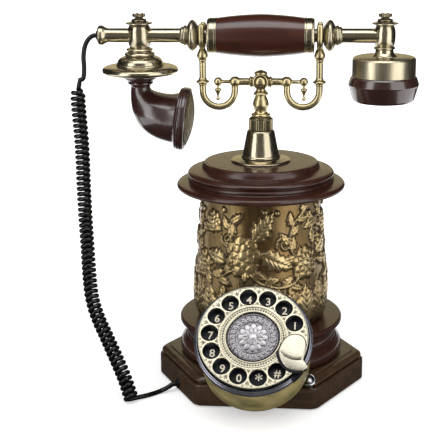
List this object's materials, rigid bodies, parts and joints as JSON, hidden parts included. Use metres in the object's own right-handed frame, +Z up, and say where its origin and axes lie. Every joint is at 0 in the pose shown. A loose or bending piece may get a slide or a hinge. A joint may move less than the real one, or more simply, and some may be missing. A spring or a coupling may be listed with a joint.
{
  "type": "desk telephone",
  "caption": "Antique-style desk telephone: embossed barrel on a hexagonal plinth, tilted rotary dial, hooked column cradle, turned handset with horn mouthpiece and curly cord.",
  "frame": {"origin": "centre of the base's underside, where the telephone stands on the table", "axes": "+Z up; -Y is the front, where the dial is; the handset lies along X with its mouthpiece towards -X"},
  "size_m": [0.274, 0.1908, 0.2998],
  "materials": {
    "brass": "polished antique brass, brown patina in the recesses",
    "dark_wood": "dark reddish brown, high gloss lacquer",
    "horn_brown": "dark brown, high gloss",
    "gold_relief": "cast resin in antique gold, dark wash in the recesses",
    "dial_gold": "antique gold, satin",
    "ring_blue": "dark blue-grey, satin",
    "dial_black": "black, satin",
    "medallion_silver": "grey silver, satin, darkened recesses",
    "chrome": "mirror chrome",
    "steel": "plain zinc-plated steel",
    "cord_rubber": "black, satin",
    "felt": "dark felt",
    "board_green": "green circuit board",
    "jack_cream": "cream, semi-gloss"
  },
  "bodies": {
    "base": {"base_mat": "felt", "bottom_plate": "steel", "plinth_shell": "dark_wood", "ballast_weight": "steel", "circuit_board": "board_green", "ringer_speaker": "steel", "line_jack": "jack_cream", "cord_grommet": "cord_rubber", "button_bezel": "chrome", "pedestal_moulding": "dark_wood", "barrel_shell": "gold_relief", "crown_top": "dark_wood", "guide_bush": "brass", "hook_spring": "steel", "hook_switch": "dial_black", "escutcheon_disc": "brass", "column_cone": "brass", "knurled_collar": "brass", "dial_drum": "dial_gold", "dial_ring": "ring_blue", "number_plate": "dial_black", "dial_spring_case": "steel", "finger_stop": "brass", "curly_coil": "cord_rubber", "base_lead": "cord_rubber"},
    "button": {"function_button": "chrome"},
    "dial": {"finger_wheel": "brass", "wheel_medallion": "medallion_silver", "dial_shaft": "steel"},
    "cradle": {"cradle_baluster": "brass", "plunger_rod": "steel", "hub_medallion": "brass", "left_arm": "brass", "right_arm": "brass", "left_hook": "brass", "right_hook": "brass", "left_fork": "brass", "right_fork": "brass"},
    "handset": {"wood_grip": "dark_wood", "left_ferrule": "brass", "right_ferrule": "brass", "left_bead": "brass", "right_bead": "brass", "left_arm_tube": "brass", "handset_grommet": "cord_rubber", "left_socket": "brass", "left_top_nut": "brass", "right_arm_tube": "brass", "right_socket": "brass", "right_top_nut": "brass", "mouthpiece_saucer": "brass", "mouthpiece_horn": "horn_brown", "mouthpiece_rim": "horn_brown", "mouthpiece_grille": "gold_relief", "microphone_capsule": "steel", "earpiece_neck": "brass", "earpiece_drum": "brass", "earpiece_cap": "horn_brown", "receiver_capsule": "steel", "handset_lead": "cord_rubber"}
  },
  "joints": [
    {"name": "handset_lift", "type": "slide", "parent": "base", "child": "handset", "axis": [0, 0, 1], "range_m": [0, 0.08], "deforming": ["curly_coil"]},
    {"name": "hook_rise", "type": "slide", "parent": "base", "child": "cradle", "axis": [0, 0, 1], "range_m": [0, 0.004], "deforming": ["hook_spring"]},
    {"name": "dial_spin", "type": "hinge", "parent": "base", "child": "dial", "pos_m": [0, -0.0878, 0.0651], "axis": [0, 0.7071, -0.7071], "range_deg": [0, 330], "stiffness_Nm_per_rad": 0.004, "springref_deg": -28.65},
    {"name": "button_press", "type": "slide", "parent": "base", "child": "button", "axis": [0, 0.5299, -0.848], "range_m": [0, 0.0015], "stiffness_N_per_m": 150, "springref_m": -0.001}
  ],
  "couplings": [
    {"joint": "hook_rise", "follows": "handset_lift", "ratio": 0.05}
  ]
}
